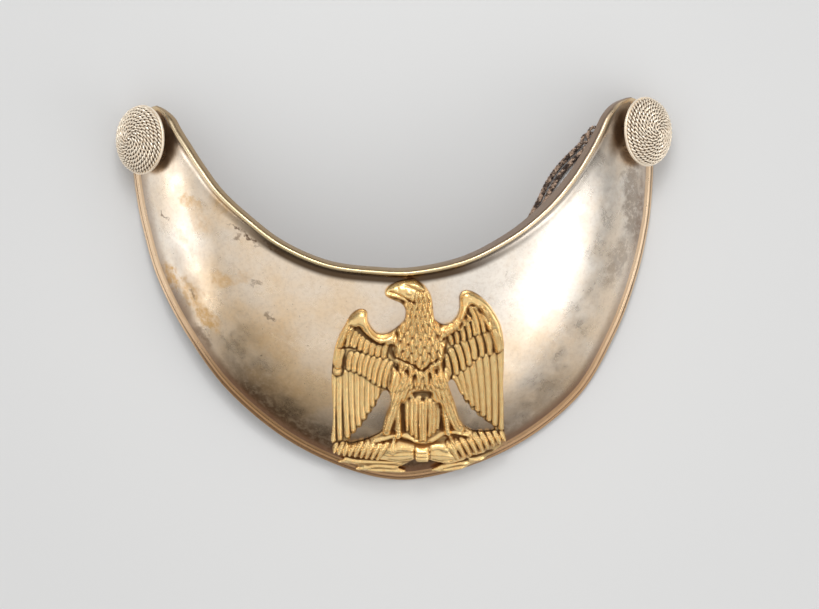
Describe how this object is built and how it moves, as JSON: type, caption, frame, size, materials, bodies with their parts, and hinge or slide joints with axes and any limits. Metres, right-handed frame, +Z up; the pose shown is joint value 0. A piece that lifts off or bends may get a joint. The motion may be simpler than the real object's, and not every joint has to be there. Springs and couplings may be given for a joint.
{
  "type": "gorget",
  "caption": "Crescent-shaped metal neck plate with a cast eagle badge, rope-wound side buttons and a braided hanging cord, lying on its back.",
  "frame": {"origin": "on the resting surface, under the centre of the gorget's box without its cord", "axes": "+X along the plate from the left horn to the right one as seen from the front, +Y from the foot of the plate to its horns, +Z up from the surface, out of the plate's front"},
  "size_m": [0.1536, 0.1056, 0.0353],
  "materials": {
    "plate_silver": "silvered brass, polished and worn, tarnished brown in places",
    "badge_gilt": "cast and gilt, matt with bright high points",
    "button_rope": "silvered twisted wire wound in a spiral over a dome",
    "post_metal": "dark unpolished rivet",
    "cord_thread": "dark brown braided cord"
  },
  "bodies": {
    "root": {"plate": "plate_silver", "eagle_badge": "badge_gilt", "left_button": "button_rope", "right_button": "button_rope", "left_post": "post_metal", "right_post": "post_metal", "cord_lead": "cord_thread", "cord_knot": "cord_thread", "cord_bight": "cord_thread"}
  },
  "joints": []
}
